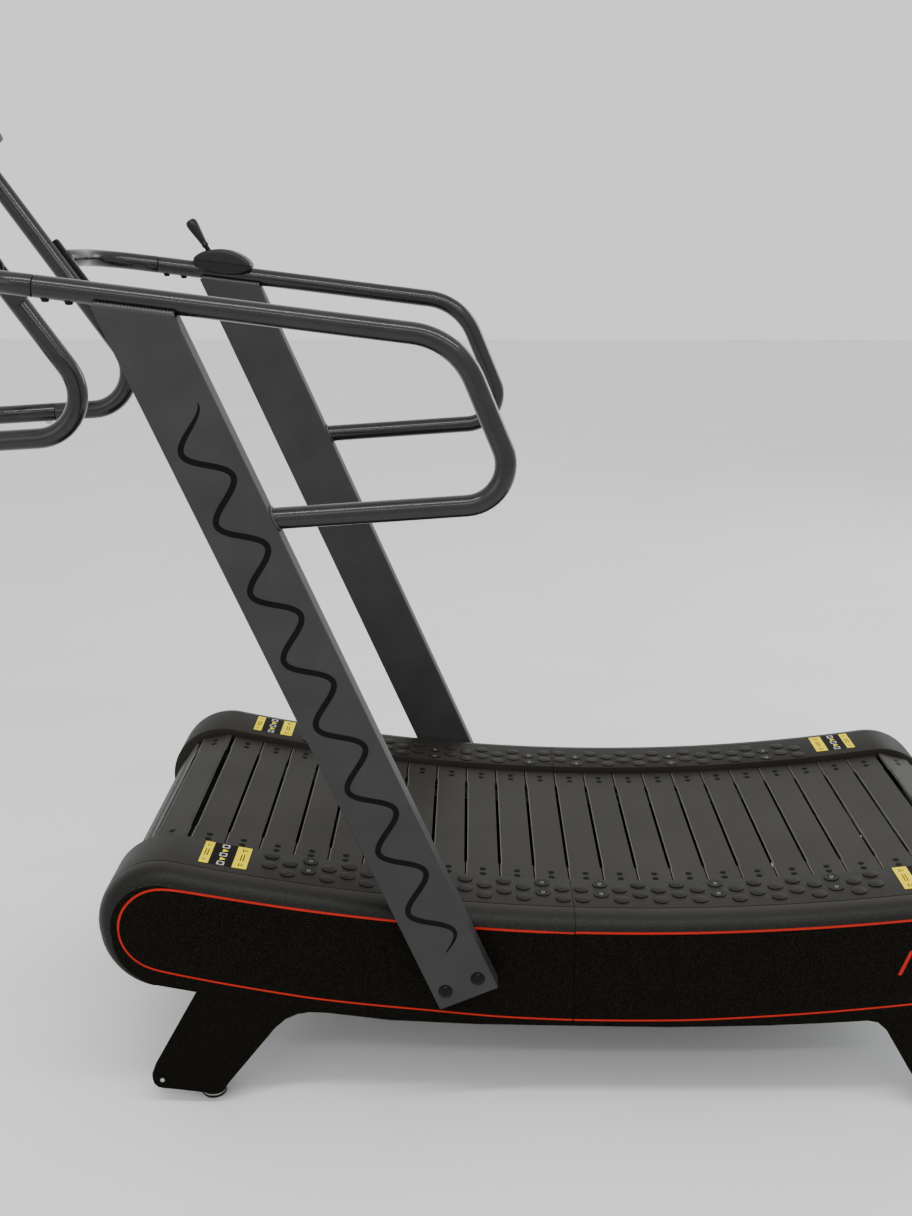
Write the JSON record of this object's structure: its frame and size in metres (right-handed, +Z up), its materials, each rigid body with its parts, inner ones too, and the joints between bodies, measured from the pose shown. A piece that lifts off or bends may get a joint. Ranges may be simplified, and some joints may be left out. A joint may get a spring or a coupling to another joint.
{
  "type": "curved manual treadmill",
  "caption": "Curved manual treadmill with a slatted belt on a concave deck, side steps, leaning uprights, looped handrails, front console and a resistance lever.",
  "frame": {"origin": "middle of the footprint of the whole object's bounding box, at floor level", "axes": "+X towards the rear of the belt, where the walker steps on; +Y towards the walker's right, the side with the lever; +Z up"},
  "size_m": [1.9011, 0.853, 1.6827],
  "materials": {
    "cover": "fine speckled texture, satin",
    "slat": "smooth matt rubber facing",
    "upright_paint": "satin powder coat",
    "tube_paint": "dark pearl powder coat, semi-gloss",
    "bare_steel": "zinc-plated, satin",
    "frame_paint": "satin black",
    "rubber": "matt",
    "plastic": "moulded, satin",
    "lens": "dark, glossy",
    "alloy": "satin"
  },
  "bodies": {
    "base": {"brake_pivot_pin": "bare_steel", "lever_pivot_pin": "bare_steel", "lever_housing": "plastic", "console_housing": "plastic", "console_lens": "lens", "front_grip_bar": "tube_paint", "console_crossbar": "tube_paint", "cross_member_front": "frame_paint", "cross_member_middle": "frame_paint", "cross_member_rear": "frame_paint", "side_plate_left": "frame_paint", "step_rail_left": "frame_paint", "idler_rail_left": "alloy", "cover_front_left": "cover", "bearing_block_front_left": "frame_paint", "cover_rear_left": "cover", "bearing_block_rear_left": "frame_paint", "wheel_bolt_left": "bare_steel", "upright_bolts_left": "bare_steel", "link_bolts_left": "bare_steel", "upright_left": "upright_paint", "handrail_left": "tube_paint", "handrail_link_left": "tube_paint", "arm_left": "tube_paint", "side_plate_right": "frame_paint", "step_rail_right": "frame_paint", "idler_rail_right": "alloy", "cover_front_right": "cover", "bearing_block_front_right": "frame_paint", "cover_rear_right": "cover", "bearing_block_rear_right": "frame_paint", "wheel_bolt_right": "bare_steel", "upright_bolts_right": "bare_steel", "link_bolts_right": "bare_steel", "upright_right": "upright_paint", "handrail_right": "tube_paint", "handrail_link_right": "tube_paint", "arm_right": "tube_paint"},
    "belt_top": {"belt_top_run": "slat"},
    "belt_return": {"belt_return_run": "slat"},
    "front_roller": {"front_drum": "alloy", "front_shaft": "bare_steel", "brake_disc": "bare_steel", "belt_front_wrap": "slat"},
    "rear_roller": {"rear_drum": "alloy", "rear_shaft": "bare_steel", "belt_rear_wrap": "slat"},
    "lever": {"lever_stem": "bare_steel", "lever_grip": "rubber"},
    "brake_holder": {"brake_magnet_holder": "plastic"},
    "wheel_left": {"transport_wheel_left": "rubber"},
    "wheel_right": {"transport_wheel_right": "rubber"},
    "button_left": {"console_button_left": "rubber"},
    "button_middle": {"console_button_middle": "rubber"},
    "button_right": {"console_button_right": "rubber"},
    "foot_front_left": {"levelling_foot_front_left": "rubber"},
    "foot_front_right": {"levelling_foot_front_right": "rubber"},
    "foot_rear_left": {"levelling_foot_rear_left": "rubber"},
    "foot_rear_right": {"levelling_foot_rear_right": "rubber"}
  },
  "joints": [
    {"name": "belt_walk", "type": "hinge", "parent": "base", "child": "belt_top", "pos_m": [0.2855, 0, 3.9495], "axis": [0, 1, 0], "range_deg": [-0.4683, 0.4683]},
    {"name": "belt_return_walk", "type": "hinge", "parent": "base", "child": "belt_return", "pos_m": [0.27541, 0, 3.58188], "axis": [0, 1, 0], "range_deg": [-0.5, 0.5]},
    {"name": "front_roller_turn", "type": "hinge", "parent": "base", "child": "front_roller", "pos_m": [-0.4765, 0, 0.32575], "axis": [0, 1, 0], "range_deg": [-22.4, 22.4]},
    {"name": "rear_roller_turn", "type": "hinge", "parent": "base", "child": "rear_roller", "pos_m": [0.8475, 0, 0.2894], "axis": [0, 1, 0], "range_deg": [-22.4, 22.4]},
    {"name": "lever_swing", "type": "hinge", "parent": "base", "child": "lever", "pos_m": [-0.4865, 0.4012, 1.349], "axis": [0, 1, 0], "range_deg": [0, 60]},
    {"name": "brake_swing", "type": "hinge", "parent": "base", "child": "brake_holder", "pos_m": [-0.34979, 0.289, 0.31341], "axis": [0, 1, 0], "range_deg": [0, 10.01]},
    {"name": "wheel_left_roll", "type": "hinge", "parent": "base", "child": "wheel_left", "pos_m": [-0.4925, -0.3565, 0.048], "axis": [0, 1, 0], "continuous": true},
    {"name": "wheel_right_roll", "type": "hinge", "parent": "base", "child": "wheel_right", "pos_m": [-0.4925, 0.3565, 0.048], "axis": [0, 1, 0], "continuous": true},
    {"name": "button_left_press", "type": "slide", "parent": "base", "child": "button_left", "axis": [-0.766, 0, -0.6428], "range_m": [0, 0.002], "stiffness_N_per_m": 400, "springref_m": -0.001},
    {"name": "button_middle_press", "type": "slide", "parent": "base", "child": "button_middle", "axis": [-0.766, 0, -0.6428], "range_m": [0, 0.002], "stiffness_N_per_m": 400, "springref_m": -0.001},
    {"name": "button_right_press", "type": "slide", "parent": "base", "child": "button_right", "axis": [-0.766, 0, -0.6428], "range_m": [0, 0.002], "stiffness_N_per_m": 400, "springref_m": -0.001},
    {"name": "foot_front_left_turn", "type": "hinge", "parent": "base", "child": "foot_front_left", "pos_m": [-0.4145, -0.342, 0], "axis": [0, 0, 1], "continuous": true},
    {"name": "foot_front_right_turn", "type": "hinge", "parent": "base", "child": "foot_front_right", "pos_m": [-0.4145, 0.342, 0], "axis": [0, 0, 1], "continuous": true},
    {"name": "foot_rear_left_turn", "type": "hinge", "parent": "base", "child": "foot_rear_left", "pos_m": [0.8125, -0.342, 0], "axis": [0, 0, 1], "continuous": true},
    {"name": "foot_rear_right_turn", "type": "hinge", "parent": "base", "child": "foot_rear_right", "pos_m": [0.8125, 0.342, 0], "axis": [0, 0, 1], "continuous": true}
  ],
  "couplings": [
    {"joint": "belt_return_walk", "follows": "belt_walk", "ratio": -1.0612},
    {"joint": "front_roller_turn", "follows": "belt_walk", "ratio": -47.746},
    {"joint": "rear_roller_turn", "follows": "belt_walk", "ratio": -47.746},
    {"joint": "brake_swing", "follows": "lever_swing", "ratio": 0.16667}
  ]
}
